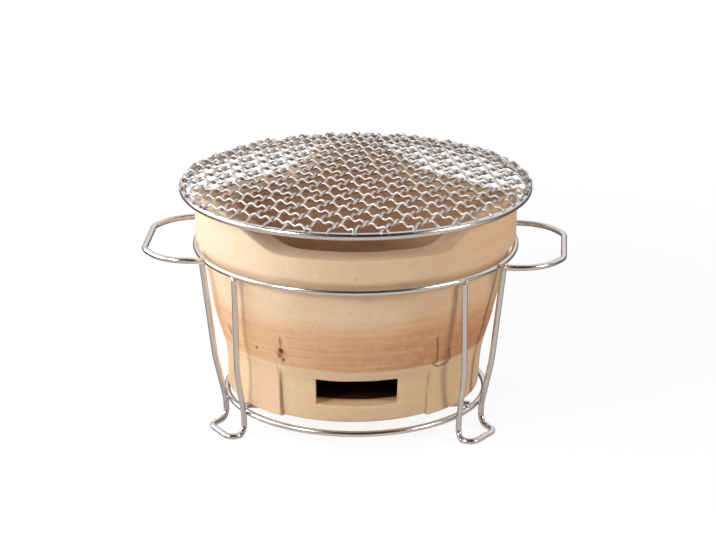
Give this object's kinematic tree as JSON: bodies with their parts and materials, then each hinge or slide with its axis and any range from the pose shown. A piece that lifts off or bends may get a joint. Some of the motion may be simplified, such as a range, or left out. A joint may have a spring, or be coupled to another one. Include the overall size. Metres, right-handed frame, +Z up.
{
  "type": "charcoal brazier",
  "caption": "Round earthenware charcoal brazier with an air vent and a scooped rim, in a wire stand with handles and looped feet, under a crimped wire net.",
  "frame": {"origin": "centre of the footprint, on the floor under the soles of the foot loops", "axes": "+X to the brazier's right seen from the front, along the line through both handles; the air vent faces -Y; +Z up"},
  "size_m": [0.364, 0.3034, 0.2178],
  "materials": {
    "bowl_clay": "unglazed carved earthenware, matt",
    "grate_clay": "unglazed fired clay, matt",
    "stand_steel": "bright drawn stainless wire",
    "net_steel": "bright crimped stainless wire"
  },
  "bodies": {
    "stand": {"top_ring": "stand_steel", "bottom_ring": "stand_steel", "rest_bar_front": "stand_steel", "rest_bar_rear": "stand_steel", "foot_left": "stand_steel", "foot_right": "stand_steel", "foot_rear": "stand_steel", "handle_left": "stand_steel", "handle_right": "stand_steel"},
    "bowl": {"fire_bowl": "bowl_clay"},
    "grate": {"charcoal_grate": "grate_clay"},
    "net": {"net_ring": "net_steel", "net_wire_a_01": "net_steel", "net_wire_a_02": "net_steel", "net_wire_a_03": "net_steel", "net_wire_a_04": "net_steel", "net_wire_a_05": "net_steel", "net_wire_a_06": "net_steel", "net_wire_a_07": "net_steel", "net_wire_a_08": "net_steel", "net_wire_a_09": "net_steel", "net_wire_a_10": "net_steel", "net_wire_a_11": "net_steel", "net_wire_a_12": "net_steel", "net_wire_a_13": "net_steel", "net_wire_a_14": "net_steel", "net_wire_a_15": "net_steel", "net_wire_a_16": "net_steel", "net_wire_a_17": "net_steel", "net_wire_b_01": "net_steel", "net_wire_b_02": "net_steel", "net_wire_b_03": "net_steel", "net_wire_b_04": "net_steel", "net_wire_b_05": "net_steel", "net_wire_b_06": "net_steel", "net_wire_b_07": "net_steel", "net_wire_b_08": "net_steel", "net_wire_b_09": "net_steel", "net_wire_b_10": "net_steel", "net_wire_b_11": "net_steel", "net_wire_b_12": "net_steel", "net_wire_b_13": "net_steel", "net_wire_b_14": "net_steel", "net_wire_b_15": "net_steel", "net_wire_b_16": "net_steel", "net_wire_b_17": "net_steel"}
  },
  "joints": [
    {"name": "bowl_lift", "type": "slide", "parent": "stand", "child": "bowl", "axis": [0, 0, 1], "range_m": [0, 0.14]},
    {"name": "net_lift", "type": "slide", "parent": "bowl", "child": "net", "axis": [0, 0, 1], "range_m": [0, 0.12]},
    {"name": "grate_lift", "type": "slide", "parent": "bowl", "child": "grate", "axis": [0, 0, 1], "range_m": [0, 0.07]}
  ]
}
